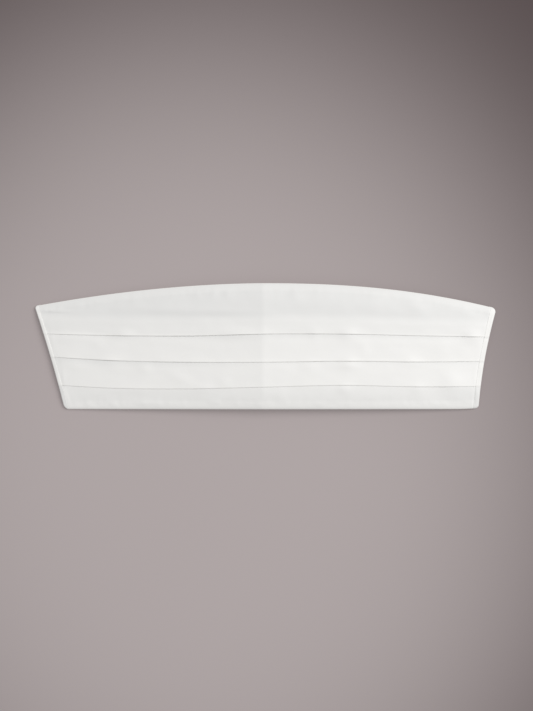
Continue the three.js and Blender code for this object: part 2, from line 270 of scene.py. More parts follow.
relief = {
    "allowance": 7.2,  # seam allowance inside the edges, how softly it ends, and how far it raises the cloth
    "allowanceSoft": (1.2, 1.6),
    "allowanceRise": 0.15,
    "allowanceEnds": 1.2,  # narrower at the two ends by this share, above this height
    "allowanceFrom": (-42.0, -39.0),
    "allowanceRight": 0.6,  # and narrower still at the right one
    "roundReach": 3.2,  # the cloth falls away this near its long edges
    "roundFall": 0.4,
    "broad": (0.3, 36.0, 18.0, 3.1),  # uneven cloth: rise, lengths along and across, and seed
    "ripple": (0.12, 13.0, 8.0, 8.4),
    "pucker": (0.55, 4.4, 11.0, 5.7),
    "puckerAt": 4.5,  # in from the outline
    "puckerReach": 3.4,
    "swelling": 1.4,
    "calmReach": 9.0,  # none of these at the outline, all of them this far in
    "sunkReach": (0.2, 1.6),  # the face sinks beside an end strip, from just under it
}


def allowanceAt(x, y):  # 1 over the seam allowance, which is narrow at the ends save in the lowest band
    narrow = 1 + relief["allowanceEnds"] * smoothStep(*relief["allowanceFrom"], y)
    narrow = narrow + relief["allowanceRight"] * (np.asarray(x) > 0)
    distance = np.minimum(longDistance(x, y), endDistance(x, y) * narrow)
    inside, outside = relief["allowanceSoft"]
    return 1 - smoothStep(relief["allowance"] - inside, relief["allowance"] + outside, distance)


def cloudRise(key, x, y):
    rise, lengthX, lengthY, seed = relief[key]
    return rise * cloudy(x, y, lengthX, lengthY, seed)


def reliefAt(x, y):  # everything that keeps the cloth from lying in one smooth curve
    x, y = np.broadcast_arrays(np.asarray(x, float), np.asarray(y, float))
    fromEdges = longDistance(x, y)
    distance = np.minimum(fromEdges, endDistance(x, y))
    nearPuckers = np.exp(-np.abs(distance - relief["puckerAt"]) / relief["puckerReach"])
    rise = cloudRise("broad", x, y) + cloudRise("ripple", x, y) + cloudRise("pucker", x, y) * nearPuckers
    for middleX, middleY, lengthX, lengthY, turn, height in swellings:
        c, s = math.cos(math.radians(turn)), math.sin(math.radians(turn))
        a = ((x - middleX) * c + (y - middleY) * s) / lengthX
        b = ((y - middleY) * c - (x - middleX) * s) / lengthY
        rise += relief["swelling"] * height * np.exp(-(a * a + b * b))
    rise = rise * smoothStep(0.0, relief["calmReach"], distance)
    rise += relief["allowanceRise"] * allowanceAt(x, y)
    rise -= relief["roundFall"] * (1 - smoothStep(0.0, relief["roundReach"], fromEdges)) ** 2
    fromStrip = endDistance(x, y) - byEnd(x, "strip")
    under, beside = relief["sunkReach"]
    rise -= byEnd(x, "sunk") * (1 - smoothStep(-under, beside, fromStrip))
    return rise


# Shared ways of making a piece


def sheetMesh(name, points, uv, attributes=None):
    # points and uv are arrays of rows by columns, in millimetres
    rows, columns = points.shape[:2]
    index = np.arange(rows * columns).reshape(rows, columns)
    quads = np.stack([index[:-1, :-1], index[:-1, 1:], index[1:, 1:], index[1:, :-1]], axis=-1)
    quads = quads.reshape(-1, 4)
    mesh = bpy.data.meshes.new(name)
    mesh.from_pydata((points.reshape(-1, 3) * mm).tolist(), [], quads.tolist())
    layer = mesh.uv_layers.new(name="clothUv")
    corners = quads.ravel()
    layer.data.foreach_set("uv", (uv.reshape(-1, 2)[corners] * mm).ravel())
    for label, values in (attributes or {}).items():
        attribute = mesh.attributes.new(label, "FLOAT", "POINT")
        attribute.data.foreach_set("value", values.ravel().astype(np.float32))
    mesh.update()
    piece = bpy.data.objects.new(name, mesh)
    bpy.context.collection.objects.link(piece)
    return piece


def thicken(piece, thickness):
    makeActive(piece)
    wall = piece.modifiers.new("wall", "SOLIDIFY")
    wall.thickness = thickness * mm
    wall.offset = 0.0
    wall.use_even_offset = True
    bpy.ops.object.modifier_apply(modifier=wall.name)
    bpy.ops.object.mode_set(mode="EDIT")
    bpy.ops.mesh.select_all(action="SELECT")
    bpy.ops.mesh.normals_make_consistent(inside=False)
    bpy.ops.object.mode_set(mode="OBJECT")
    bpy.ops.object.shade_smooth_by_angle(angle=math.radians(50))


def runLength(points):  # distance along the first axis, down each column
    steps = np.linalg.norm(np.diff(points, axis=0), axis=-1)
    return np.concatenate([np.zeros((1, points.shape[1])), np.cumsum(steps, axis=0)])


def halfTurn(count):  # angles strictly inside a half circle
    return [math.pi * (i + 1) / (count + 1) for i in range(count)]


# The pleated face, one strip of cloth

faceCloth = {
    "thickness": 0.25,
    "layer": 0.33,  # from one ply to the next
    "firstLayer": 0.4,  # middle of the lowest ply above the backing
    "hemLayer": -1.2,  # middle of the cloth turned under the backing
    "hemWidth": 7.0,
    "stepReach": 9.0,  # the cloth climbs over a pleat's inner edge in this length
    "stepStart": 0.6,  # and starts to climb this far outside it
    "innerRoom": 9.5,  # pleats stay this far below the top edge
    "endRoom": 1.6,  # from the outline to the cut ends of the cloth
    "pinch": 0.72,  # plies pressed together at the ends, as a share of their height
    "pinchReach": (1.5, 24.0),  # in from the ends
    "tucked": 1.2,  # the corners draw in under the end strips, from just inside their inner edge
    "tuckedSoft": (1.6, 0.1),
    "liftEnds": (4.0, 16.0),  # folded edges lie flat this near the ends, and stand up from here on
    "liftReach": 7.0,  # a lift fades out this far above the folded edge
    "liftUnder": 0.75,  # share of it that the plies under the fold follow
    "lip": 0.04,  # curl of each folded edge
    "lipReach": 2.0,
    "hiddenPast": 0.8,  # a band is hidden from this far above the fold over it, and has few rows there
    "pressAndEdgeLightReach": 1.5,  # painted highlight and painted warm bounce light of a pressed folded edge: strong this near the edge, and weaker at the hems
    "hemPressAndEdgeLight": 0.8,
    "endPaintedShade": 0.4,  # painted shade: the lowest band is painted darker towards its right end by this share, between these places
    "endPaintedShadeSpan": (0.72, 0.95),
    "allowanceTone": 0.6,  # the seam allowance looks more solid
    # how solid each band looks, alone and for each ply over it; the top band is also painted darker and the
    # lowest band paler, painted shade and painted light against how the light falls on their hanging edges
    "tones": [(0.75, 0.75), (1.0, 1.0), (1.0, 1.0), (2.3, 1.0)],
    "halfColumns": 92,  # from the close ones near an end to the middle
    "bandRows": [34, 17, 17, 17],  # and how much closer they stand towards the folded edge
    "bandCloser": [0.35, 0.3, 0.3, 0.3],
    "hemSteps": 8,  # rows round a hem, a folded edge and a hidden inner edge
    "foldSteps": 7,
    "innerSteps": 5,
}
ply = faceCloth["layer"]
fold = ply / 2  # radius of a folded edge


def cornerRecede(distance, radius):  # of a rounded corner, at this distance from the other edge
    near = np.clip(radius - distance, 0, radius)
    return radius - np.sqrt(np.maximum(radius**2 - near**2, 0))


def standBack(x, y, corner):  # of the face cloth from the outline of its long edges, near an end
    distance = endDistance(x, y)
    width = byEnd(x, "strip")
    inside, outside = faceCloth["tuckedSoft"]
    tucked = faceCloth["tucked"] * (1 - smoothStep(width - inside, width - outside, distance))
    return cornerRecede(distance, byEnd(x, corner)) + tucked


def stationX(u, y):
    inset = endInset(sideOf(u), y)
    return u * (halfWidth - faceCloth["endRoom"]) - np.sign(u) * inset * np.abs(u) ** 3


def foldEdge(k, u):
    return halfHeight - panel["height"] * along(pleats[k]["edge"], u)


def innerEdge(k, u, highest):
    return np.minimum(foldEdge(k, u) + along(pleats[k]["depth"], u), highest)


def riseOver(k, y, inner):  # how high band k stands above the lowest ply, in plies
    if k == len(pleats):
        return np.zeros_like(y)
    over = 1 - smoothStep(inner[k] - faceCloth["stepStart"], inner[k] + faceCloth["stepReach"], y)
    return 2 * over + np.where(y < inner[k], riseOver(k + 1, y, inner), 0.0)


def pinchAt(x, y):
    distance = endDistance(x, y)
    return faceCloth["pinch"] + (1 - faceCloth["pinch"]) * smoothStep(*faceCloth["pinchReach"], distance)


def liftOf(k, x, y, edge):  # a folded edge standing up, and its curl
    away = np.maximum(y - edge, 0)
    rise = sum(height * np.exp(-(((x - middle) / length) ** 2)) for middle, length, height in lifts[k])
    fade = smoothStep(*faceCloth["liftEnds"], endDistance(x, y))
    curl = fade * faceCloth["lip"] * np.exp(-away / faceCloth["lipReach"])
    return fade * rise * np.exp(-((away / faceCloth["liftReach"]) ** 2)), curl


def faceColumns():
    # the columns stand close together near the ends; these are their distances from the cut end
    near = [0, 0.6, 1.2, 1.9, 2.7, 3.5, 4.3, 5.1, 5.9, 6.5, 7.1, 7.7, 8.3, 9.0, 10.0, 11.4, 13.0]
    length = halfWidth - faceCloth["endRoom"]
    half = [1 - distance / length for distance in near]
    half += list(np.linspace(half[-1], 0, faceCloth["halfColumns"])[1:])
    return np.array([-u for u in half] + half[-2::-1])


def closerTowards(count, amount):  # shares from 0 to 1 that stand closer together near 1
    share = np.linspace(0, 1, count)
    return share + amount * share * (1 - share)


def longEdges(u):  # where the face cloth turns under along its two long edges
    topX, bottomX = stationX(u, topEdge(u * halfWidth)), stationX(u, -halfHeight)
    top = topEdge(topX) - standBack(topX, topEdge(topX), "topCorner")
    bottom = bottomEdge(bottomX) + standBack(bottomX, bottomEdge(bottomX), "bottomCorner")
    return topX, top, bottom


def faceRows(u):
    topX, top, bottom = longEdges(u)
    folds = len(pleats)
    edges = [foldEdge(k, u) for k in range(folds)]
    inner = [innerEdge(k, u, topEdge(topX) - faceCloth["innerRoom"]) for k in range(folds)]
    first, hem = faceCloth["firstLayer"], faceCloth["hemLayer"]
    turn, turnMiddle = (first - hem) / 2, (first + hem) / 2
    hemShares = (0, 0.35, 0.7, 1)
    rows = []  # each row: y, height above the backing, plies (with painted shade and light on the top and lowest bands), and how strongly the painted highlight and warm bounce light of a pressed edge show there

    def add(y, height, pliesAndPaintedLight, pressAndEdgeLight=0.0):
        full = np.broadcast_to
        rows.append([full(value, u.shape).astype(float) for value in (y, height, pliesAndPaintedLight, pressAndEdgeLight)])

    def surface(k, y):
        x = stationX(u, y)
        rise = riseOver(k, y, inner)
        lift, curl = liftOf(k, x, y, edges[k]) if k < folds else (0.0, 0.0)
        return rise, pinchAt(x, y), lift, curl

    for share in hemShares:
        add(top - faceCloth["hemWidth"] + share * (faceCloth["hemWidth"] - turn), hem, 2)
    for angle in reversed(halfTurn(faceCloth["hemSteps"])):
        y = top - turn + turn * math.sin(angle)
        add(y, turnMiddle + turn * math.cos(angle), 2, faceCloth["hemPressAndEdgeLight"])
    start = top - turn
    for k in range(folds + 1):
        # the band that shows
        stop = edges[k] + fold if k < folds else bottom + turn
        shares = closerTowards(faceCloth["bandRows"][k], faceCloth["bandCloser"][k])
        if k == 0:
            ys = [start + (stop - start) * share for share in shares]
        else:
            hiddenStop = edges[k - 1] + faceCloth["hiddenPast"]
            ys = [start + (hiddenStop - start) * share for share in (0, 0.2, 0.45, 0.72)]
            ys += [hiddenStop + (stop - hiddenStop) * share for share in shares]
        for y in ys:
            rise, pinch, lift, curl = surface(k, y)
            # a painted highlight and painted warm bounce light, strongest at the folded edge
            pressAndEdgeLight = np.exp(-np.maximum(y - edges[k], 0) / faceCloth["pressAndEdgeLightReach"]) if k < folds else 0.0
            # the top and lowest bands' values hold painted shade and painted light
            alone, perPly = faceCloth["tones"][k]
            # painted shade on the lowest band towards its right end
            if k == folds:
                alone = alone * (1 - faceCloth["endPaintedShade"] * smoothStep(*faceCloth["endPaintedShadeSpan"], u))
            add(y, first + ply * rise * pinch + lift + curl, alone + perPly * rise, pressAndEdgeLight)
        if k == folds:
            break
        # its folded edge
        rise, pinch, lift, curl = surface(k, stop)
        highest = first + ply * rise * pinch + lift + curl
        lowest = first + ply * (rise - 1) * pinch + faceCloth["liftUnder"] * lift
        middle, tall = (highest + lowest) / 2, (highest - lowest) / 2
        for angle in halfTurn(faceCloth["foldSteps"]):
            y = stop - np.minimum(tall, fold) * math.sin(angle)
            add(y, middle + tall * math.cos(angle), 3, 1.0)
        # the cloth that runs back under it
        back = inner[k] - fold
        for share in (0, 0.12, 0.3, 0.55, 0.8, 1):
            y = stop + (back - stop) * share
            rise, pinch, lift, curl = surface(k, y)
            under = ply * (riseOver(k + 1, y, inner) + 1) * pinch
            add(y, first + under + faceCloth["liftUnder"] * lift, 3)
        # the hidden inner edge, where it turns down again
        x = stationX(u, back)
        below = first + ply * riseOver(k + 1, back, inner) * pinchAt(x, back)
        tall = ply * pinchAt(x, back) / 2
        for angle in halfTurn(faceCloth["innerSteps"]):
            add(back + fold * math.sin(angle), below + tall + tall * math.cos(angle), 3, 1.0)
        start = back
    for angle in halfTurn(faceCloth["hemSteps"]):
        y = bottom + turn - turn * math.sin(angle)
        add(y, turnMiddle + turn * math.cos(angle), 2, faceCloth["hemPressAndEdgeLight"])
    for share in reversed(hemShares):
        add(bottom + faceCloth["hemWidth"] - share * (faceCloth["hemWidth"] - turn), hem, 2)
    return np.array(rows)


def makeFace():
    u = faceColumns()
    y, height, pliesAndPaintedLight, pressAndEdgeLight = faceRows(u).transpose(1, 0, 2)
    x = stationX(u[None, :], y)
    points = np.stack([x, y, bedHeight(x, y) + reliefAt(x, y) + height], axis=-1)
    section = np.stack([y, height], axis=-1)
    uv = np.stack([x, runLength(section)], axis=-1)
    pliesAndPaintedLight = pliesAndPaintedLight + faceCloth["allowanceTone"] * allowanceAt(x, y)
    piece = sheetMesh("pleatedFace", points, uv, {"pliesAndPaintedLight": pliesAndPaintedLight, "pressAndEdgeLight": pressAndEdgeLight})
    thicken(piece, faceCloth["thickness"])
    flatLength = float(runLength(section)[-1].mean())
    print("pleated face: flat height", round(flatLength, 1), "mm,", len(piece.data.polygons), "faces")
    return piece, flatLength


# The backing, a plain lining inside the turned edges

backing = {
    "thickness": 0.5,
    "middle": -0.32,  # its middle below the bed
    "margin": 1.3,  # inside the outline
    "endMargin": 2.2,
    "followRelief": 0.8,
    "columns": 150,
    "rows": 44,
}


def backingLevel(x, y):
    return bedHeight(x, y) + backing["middle"] + backing["followRelief"] * reliefAt(x, y)


def makeBacking():
    u = np.linspace(-1, 1, backing["columns"])
    topX, top, bottom = longEdges(u)
    top, bottom = top - backing["margin"], bottom + backing["margin"]
    share = np.linspace(0, 1, backing["rows"])[:, None]
    y = top[None, :] * (1 - share) + bottom[None, :] * share
    x = stationX(u[None, :], y) * (1 - (backing["endMargin"] - faceCloth["endRoom"]) / halfWidth)
    points = np.stack([x, y, backingLevel(x, y)], axis=-1)
    piece = sheetMesh("backing", points, np.stack([x, y], axis=-1))
    thicken(piece, backing["thickness"])
    return piece


# The rolled strip that closes each end

endStrip = {
    "thickness": 0.18,
    "gap": 0.02,  # between the strip and the face cloth under it
    "proud": 0.36,  # past the long edges of the face
    "edgeRound": 1.35,  # its tube closes in this length at both ends, down to this share of its height
    "edgeLeast": 0.16,
    "below": -1.72,  # middle of its lower side, under the bed
    "rowGap": 0.6,
    "underReach": 2.2,  # how much further in the strip ends below than above
    "rollIn": 1.8,  # in from the slanted end, where its upper side takes its height from the face
    "rollLeast": 0.45,  # share of its width that stays flat at least
    "leastWidth": 0.5,  # visible width at its two ends
    "tone": 3.2,  # how solid it looks, and over the lowest band
    "lowTone": 0.9,
    "toneSpan": (-3.0, 1.0),  # from the third fold
    "pressAndEdgeLight": (0.7, 0.3, 0.0),  # painted highlight and warm bounce light of the pressed strip: above, round the roll and below
}


def faceTopAt(x, y):  # visible face of the pleats above the bed, at points near an end
    side = sideOf(x)
    u = side * np.minimum(np.abs(x) / (endReach(side, y) - faceCloth["endRoom"]), 1)
    edges = [foldEdge(k, u) for k in range(len(pleats))]
    inner = [innerEdge(k, u, topEdge(x) - faceCloth["innerRoom"]) for k in range(len(pleats))]
    band = sum((y < edge).astype(int) for edge in edges)
    rises = [riseOver(k, y, inner) for k in range(len(pleats) + 1)]
    rise = ply * pinchAt(x, y) * np.choose(band, rises)
    return faceCloth["firstLayer"] + faceCloth["thickness"] / 2 + rise


def overAll(values, reach):  # the line a strip takes over a stepped surface
    count = len(values)
    highest = np.array([values[max(i - reach, 0):i + reach + 1].max() for i in range(count)])
    padded = np.pad(highest, reach, mode="edge")
    return np.convolve(padded, np.ones(2 * reach + 1) / (2 * reach + 1), mode="valid")


def makeEndStrip(name, side):
    shape = panel["left" if side < 0 else "right"]
    width = shape["strip"]
    low = float(bottomEdge(side * endReach(side, -halfHeight))) - endStrip["proud"]
    high = float(topEdge(side * halfWidth)) + endStrip["proud"]

    def firstRow(radius):  # where the rounded corner still leaves the strip its least width
        over = radius - width + endStrip["leastWidth"]
        return radius - math.sqrt(radius**2 - over**2) if over > 0 else 0.0

    start, stop = low + firstRow(shape["bottomCorner"]), high - firstRow(shape["topCorner"])
    y = np.linspace(start, stop, int((stop - start) / endStrip["rowGap"]))
    recedeLow = cornerRecede(y - low, shape["bottomCorner"])
    recedeHigh = cornerRecede(high - y, shape["topCorner"])
    reach = endReach(side, y)
    thickness = endStrip["thickness"]
    outer = reach - np.maximum(recedeLow, recedeHigh) - thickness / 2
    inner = reach - width
    turn = np.maximum(outer - shape["turnDepth"], inner + endStrip["rollLeast"] * (outer - inner))
    clear = endStrip["gap"] + thickness / 2
    upperIn = overAll(faceTopAt(side * inner, y), 1) + clear
    upperOut = overAll(faceTopAt(side * (reach - endStrip["rollIn"]), y), 1) + clear
    lower = np.full_like(y, endStrip["below"])
    pressLightAbove, pressLightRound, pressLightBelow = endStrip["pressAndEdgeLight"]
    columns = []  # each column: place across the end, height above the bed, and how strongly the painted highlight and warm bounce light of the pressed strip show there
    for share in np.linspace(0, 1, 9):
        puff = shape["puff"] * math.sin(math.pi * min(share * 0.75 + 0.02, 1))
        height = upperIn + (upperOut - upperIn) * share + puff
        columns.append((inner + (turn - inner) * share, height, pressLightAbove))
    topHeight = columns[-1][1]
    middle, tall = (topHeight + lower) / 2, (topHeight - lower) / 2
    for angle in halfTurn(11):
        place = turn + (outer - turn) * math.sin(angle)
        columns.append((place, middle + tall * math.cos(angle), pressLightRound))
    hidden = inner - endStrip["underReach"]
    for share in np.linspace(1, 0, 7):
        columns.append((hidden + (turn - hidden) * share, lower, pressLightBelow))
    across = np.array([column[0] for column in columns])
    height = np.array([column[1] for column in columns])
    pressAndEdgeLight = np.array([np.full_like(y, column[2]) for column in columns])
    # the tube closes at both ends of the strip
    fromEdge = np.minimum(y - low, high - y)
    closing = np.sqrt(1 - (1 - np.clip(fromEdge / endStrip["edgeRound"], 0, 1)) ** 2)
    height = middle + (height - middle) * np.maximum(closing, endStrip["edgeLeast"])
    # above the first fold it follows the slope of the arch
    x = side * across
    lean = smoothStep(foldEdge(0, side), high, y)
    rowY = y + lean * (topEdge(x) - topEdge(side * halfWidth))
    points = np.stack([x, rowY, bedHeight(x, rowY) + reliefAt(x, rowY) + height], axis=-1)
    lengths = runLength(np.stack([across, height], axis=-1))
    uv = np.stack([lengths, np.broadcast_to(y, lengths.shape)], axis=-1)
    aboveLowest = smoothStep(*endStrip["toneSpan"], rowY - foldEdge(2, side))
    solid = endStrip["lowTone"] + (endStrip["tone"] - endStrip["lowTone"]) * aboveLowest
    piece = sheetMesh(name, points, uv, {"pliesAndPaintedLight": solid, "pressAndEdgeLight": pressAndEdgeLight * solid / endStrip["tone"]})
    thicken(piece, thickness)
    return piece, float(lengths[-1].mean()), float(stop - start)


# The straps, each sewn behind one end, folded under and looped round a bar of the clasp

strap = {
    "width": 44.6,
    "thickness": 1.1,
    "cadThickness": 1.2,  # its line keeps the places of the solid strap
    "inset": 16.0,  # from the slanted end to the outer fold
    "root": 30.0,  # sewn behind the end over this length
    "sewnBelow": 1.0,  # room under the bed for the backing and its uneven surface
    "tuck": 12.0,  # length of the end tucked back over the strap
    "gap": 0.3,
    "barRoom": 0.3,  # past the clasp's bar before it slopes down
    "slope": 0.7,
}
clasp = {
    "thickness": 1.5,
    "bar": 4.0,
    "slot": 5.0,
    "middleBar": 8.0,
    "slotLength": 46.0,
    "margin": 3.0,
    "bevel": 0.45,
    "base": 1.5,  # its lower face above the floor
}
strapMiddle = float(topEdge(halfWidth) + topEdge(-halfWidth) - panel["height"]) / 4
barInner = clasp["middleBar"] / 2 + clasp["slot"]
barOuter = barInner + clasp["bar"]
rootSteps = 12  # of the strap's line over its sewn root


def strapLine(side, y):  # the middle of the strap from its sewn root to its tucked end
    half = strap["cadThickness"] / 2

    def sewn(reach):
        return float(bedHeight(side * reach, y)) - strap["sewnBelow"] - strap["gap"] - half

    foldOuter = float(endReach(side, strapMiddle)) - strap["inset"]
    foldStart = foldOuter - half - (sewn(foldOuter) - half) / 2
    radius = (sewn(foldStart) - half) / 2
    tuckHeight = clasp["base"] + clasp["thickness"] + strap["gap"] + half
    sewnTuck = strap["cadThickness"] + strap["gap"] + half
    slopeStart = barOuter + strap["barRoom"]
    slopeEnd = barOuter + (tuckHeight - sewnTuck) / strap["slope"]
    root = [foldStart - strap["root"] * (1 - i / rootSteps) for i in range(rootSteps + 1)]
    line = [(reach, sewn(reach)) for reach in root]
    for angle in halfTurn(11):
        line.append((foldStart + radius * math.sin(angle), half + radius + radius * math.cos(angle)))
    line += [(foldStart + (barInner - foldStart) * i / 60, half) for i in range(61)]
    # round the bar of the clasp, back over it and down onto the strap
    centre = (tuckHeight + half) / 2
    loop = centre - half
    for angle in reversed(halfTurn(9)):
        line.append((barInner - loop * math.sin(angle), centre + loop * math.cos(angle)))
    line += [(barInner + (slopeStart - barInner) * i / 3, tuckHeight) for i in range(4)]
    for i in range(1, 7):
        share = i / 6
        ease = share * share * (3 - 2 * share)
        height = tuckHeight + (sewnTuck - tuckHeight) * ease
        line.append((slopeStart + (slopeEnd - slopeStart) * share, height))
    line += [(slopeEnd + strap["tuck"] * i / 6, sewnTuck) for i in range(1, 7)]
    return np.array(line)


def makeStrap(name, side):
    # its columns stand closer together near the two edges
    across = np.array([-1, -0.97, -0.9, -0.75, -0.5, -0.25, 0, 0.25, 0.5, 0.75, 0.9, 0.97, 1])
    ys = strapMiddle + across * strap["width"] / 2
    lines = np.stack([strapLine(side, y) for y in ys], axis=1)
    y = np.broadcast_to(ys, lines.shape[:2])
    points = np.stack([side * lines[..., 0], y, lines[..., 1]], axis=-1)
    lengths = runLength(points)
    piece = sheetMesh(name, points, np.stack([lengths, y], axis=-1))
    thicken(piece, strap["thickness"])
    return piece, float(lengths[-1].mean())


def selectFaces(piece, wanted):
    bpy.ops.object.mode_set(mode="OBJECT")
    for part in (piece.data.vertices, piece.data.edges, piece.data.polygons):
        part.foreach_set("select", [False] * len(part))
    for face in piece.data.polygons:
        face.select = bool(wanted(face.center / mm))
    bpy.ops.object.mode_set(mode="EDIT")


def makeClasp():
    # a plate cut along the edges of its bars; the faces over the slots go, the rest gets its thickness
    length = clasp["slotLength"] + 2 * clasp["margin"]
    place = Vector((0, strapMiddle, clasp["base"])) * mm
    deselectAll()
    bpy.ops.mesh.primitive_plane_add(size=1.0, location=place)
    piece = bpy.context.object
    piece.name = "claspFrame"
    bpy.ops.object.mode_set(mode="EDIT")
    bpy.ops.mesh.select_mode(type="FACE")
    bpy.ops.mesh.select_all(action="SELECT")
    bpy.ops.transform.resize(value=(2 * barOuter * mm, length * mm, 1), center_override=place)
    halfBar, halfSlot = clasp["middleBar"] / 2, clasp["slotLength"] / 2
    cuts = [((x, strapMiddle, clasp["base"]), (1, 0, 0)) for x in (-barInner, -halfBar, halfBar, barInner)]
    cuts += [((0, strapMiddle + y, clasp["base"]), (0, 1, 0)) for y in (-halfSlot, halfSlot)]
    for point, normal in cuts:
        bpy.ops.mesh.select_all(action="SELECT")
        bpy.ops.mesh.bisect(plane_co=Vector(point) * mm, plane_no=normal)
    bpy.ops.object.mode_set(mode="OBJECT")
    bpy.ops.object.transform_apply(location=True, rotation=True, scale=True)

    def overSlot(centre):
        return abs(centre.y - strapMiddle) < halfSlot and halfBar < abs(centre.x) < barInner

    selectFaces(piece, overSlot)
    bpy.ops.mesh.delete(type="FACE")
    bpy.ops.mesh.select_all(action="SELECT")
    bpy.ops.mesh.extrude_region_move(TRANSFORM_OT_translate={"value": (0, 0, clasp["thickness"] * mm)})
    bpy.ops.mesh.select_all(action="SELECT")
    bpy.ops.mesh.normals_make_consistent(inside=False)
    bpy.ops.object.mode_set(mode="OBJECT")
    corners = piece.modifiers.new("corners", "BEVEL")
    corners.affect = "EDGES"
    corners.limit_method = "ANGLE"
    corners.angle_limit = math.radians(40)
    corners.width = clasp["bevel"] * mm
    corners.segments = 4
    bpy.ops.object.modifier_apply(modifier=corners.name)
    bpy.ops.object.shade_smooth_by_angle(angle=math.radians(45))
    return piece


# Stitches, one small thread hump copied along each row

stitch = {
    "length": 2.3,
    "spacing": 3.1,
    "radius": 0.2,
    "sunk": 0.06,  # into the cloth
    "fromSides": 3.0,  # the straps' seams inside their long edges
    "fromRootEnd": 0.5,
    "fromFold": 1.0,
    "fromTuckEnd": 3.0,
    "tuckRows": 4.0,  # between the two rows across the tucked end
    "hemReach": 190.0,  # slip stitches this far to both sides of the middle
    "hemSpacing": 9.5,
    "hemInside": 0.25,  # past the raw edge of the hem
    "hemProud": 0.02,
    "hemSlant": 0.35,
}


def makeStitchModel():
    deselectAll()
    bpy.ops.mesh.primitive_uv_sphere_add(segments=8, ring_count=6, radius=1.0, location=(0, 0, 0))
    model = bpy.context.object
    model.name = "stitchModel"
    bpy.ops.object.mode_set(mode="EDIT")
    bpy.ops.mesh.select_all(action="SELECT")
    bpy.ops.transform.rotate(value=math.pi / 2, orient_axis="Y", center_override=(0, 0, 0))
    size = (stitch["length"] / 2 * mm, stitch["radius"] * mm, stitch["radius"] * mm)
    bpy.ops.transform.resize(value=size, center_override=(0, 0, 0))
    bpy.ops.object.mode_set(mode="OBJECT")
    bpy.ops.object.shade_smooth()
    return model


def stitchPlaces(start, stop):  # middles of the stitches on a straight seam, and their direction
    start, stop = Vector(start), Vector(stop)
    count = max(int((stop - start).length / stitch["spacing"]), 1)
    return [(start.lerp(stop, (i + 0.5) / count), (stop - start).normalized()) for i in range(count)]


def makeStitches(name, model, places):
    copies = []
    for place, direction in places:
        copy = model.copy()
        copy.data = model.data.copy()
        copy.location = place * mm
        copy.rotation_euler = direction.to_track_quat("X", "Z").to_euler()
        bpy.context.collection.objects.link(copy)
        copies.append(copy)
    deselectAll()
    for copy in copies:
        copy.select_set(True)
    bpy.context.view_layer.objects.active = copies[0]
    bpy.ops.object.join()
    piece = bpy.context.object
    piece.name = name
    bpy.ops.object.transform_apply(location=True, rotation=True, scale=True)
    return piece


def strapSeams(side):
    # a box of stitches on the sewn root, seen from below, and two rows across the tucked end
    places = []
    halfStrap = strap["width"] / 2 - stitch["fromSides"]
    low, high = strapMiddle - halfStrap, strapMiddle + halfStrap
    line = strapLine(side, strapMiddle)
    sink = strap["thickness"] / 2 + stitch["radius"] - stitch["sunk"]

    def under(reach, y):
        level = np.interp(reach, line[:rootSteps + 1, 0], line[:rootSteps + 1, 1])
        droop = float(bedHeight(side * reach, y) - bedHeight(side * reach, strapMiddle))
        return (side * reach, y, level + droop - sink)

    inner, outer = line[1][0] + stitch["fromRootEnd"], line[rootSteps - 1][0] - stitch["fromFold"]
    for y in (low, high):
        places += stitchPlaces(under(inner, y), under(outer, y))
    for reach in (inner, outer):
        for start, stop in ((low, strapMiddle), (strapMiddle, high)):
            places += stitchPlaces(under(reach, start), under(reach, stop))
    top = line[-1][1] + sink
    lastRow = line[-1][0] - stitch["fromTuckEnd"]
    for reach in (lastRow, lastRow - stitch["tuckRows"]):
        places += stitchPlaces((side * reach, low, top), (side * reach, high, top))
    return places


def hemSeam():
    # slip stitches that hold the turned long edges to the backing
    places = []
    direction = Vector((stitch["hemSlant"], 1, 0)).normalized()
    depth = faceCloth["hemLayer"] - faceCloth["thickness"] / 2 + stitch["hemProud"]
    for x in np.arange(-stitch["hemReach"], stitch["hemReach"] + 1, stitch["hemSpacing"]):
        for edge, inward in ((topEdge(x), -1), (bottomEdge(x), 1)):
            y = float(edge) + inward * (faceCloth["hemWidth"] + stitch["hemInside"])
            z = float(bedHeight(x, y) + reliefAt(x, y)) + depth
            places.append((Vector((float(x), y, z)), direction))
    return places


face, faceFlat = makeFace()
lining = makeBacking()
stripLeft, stripLeftWidth, stripLeftLength = makeEndStrip("endStripLeft", -1)
stripRight, stripRightWidth, stripRightLength = makeEndStrip("endStripRight", 1)
print("backing and end strips are made")
strapLeft, strapLeftLength = makeStrap("strapLeft", -1)
strapRight, strapRightLength = makeStrap("strapRight", 1)
claspFrame = makeClasp()
print("straps and clasp are made")
model = makeStitchModel()
strapStitches = makeStitches("strapStitches", model, strapSeams(-1) + strapSeams(1))
hemStitches = makeStitches("hemStitches", model, hemSeam())
bpy.data.objects.remove(model)
print("stitches are made")

# Finishes. The shader groups below are shared by several of them.


def newGroup(name, inputs, outputs):
    group = bpy.data.node_groups.new(name, "ShaderNodeTree")
    for label, kind, value in inputs:
        socket = group.interface.new_socket(name=label, in_out="INPUT", socket_type=kind)
        if value is not None:
            socket.default_value = value
    for label, kind in outputs:
        group.interface.new_socket(name=label, in_out="OUTPUT", socket_type=kind)
    return group, group.nodes.new("NodeGroupInput"), group.nodes.new("NodeGroupOutput")


def addMath(tree, operation, first, second=None, third=None):
    node = tree.nodes.new("ShaderNodeMath")
    node.operation = operation
    for socket, value in zip(node.inputs, (first, second, third)):
        if value is None:
            continue
        if isinstance(value, (int, float)):
            socket.default_value = value
        else:
            tree.links.new(value, socket)
    return node.outputs[0]


